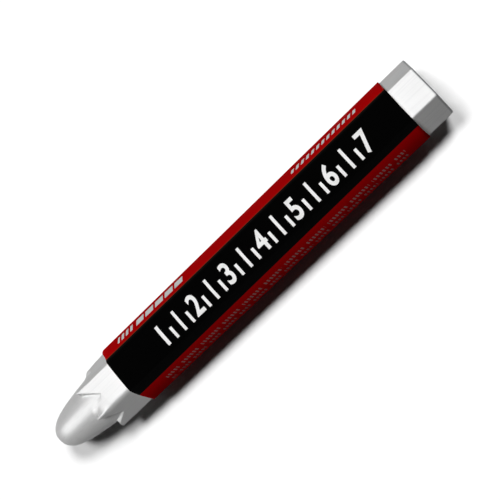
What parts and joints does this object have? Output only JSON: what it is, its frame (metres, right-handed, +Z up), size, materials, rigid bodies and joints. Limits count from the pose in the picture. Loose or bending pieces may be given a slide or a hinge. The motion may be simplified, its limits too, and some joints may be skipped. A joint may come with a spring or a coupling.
{
  "type": "marking crayon",
  "caption": "Hexagonal wax marking crayon with a moulded round nose, a flat tail end and a wound paper wrapper that leaves both ends bare.",
  "frame": {"origin": "on the surface that the crayon lies on, under the middle of its length and of its width", "axes": "+X along the crayon towards the nose, +Z up out of the flat on top, +Y to the side"},
  "size_m": [0.1142, 0.0162, 0.0146],
  "materials": {
    "wax": "hard white marking wax, smooth from the mould, with fine lengthwise streaks and a soft sheen",
    "printed_paper": "thin coated paper printed deep red, with a matt black panel over the top face",
    "paste": "dried label paste, a thin dull film"
  },
  "bodies": {
    "root": {"crayon_stick": "wax", "paper_wrapper": "printed_paper", "start_paste_strip": "paste", "lap_paste_strip": "paste"}
  },
  "joints": []
}
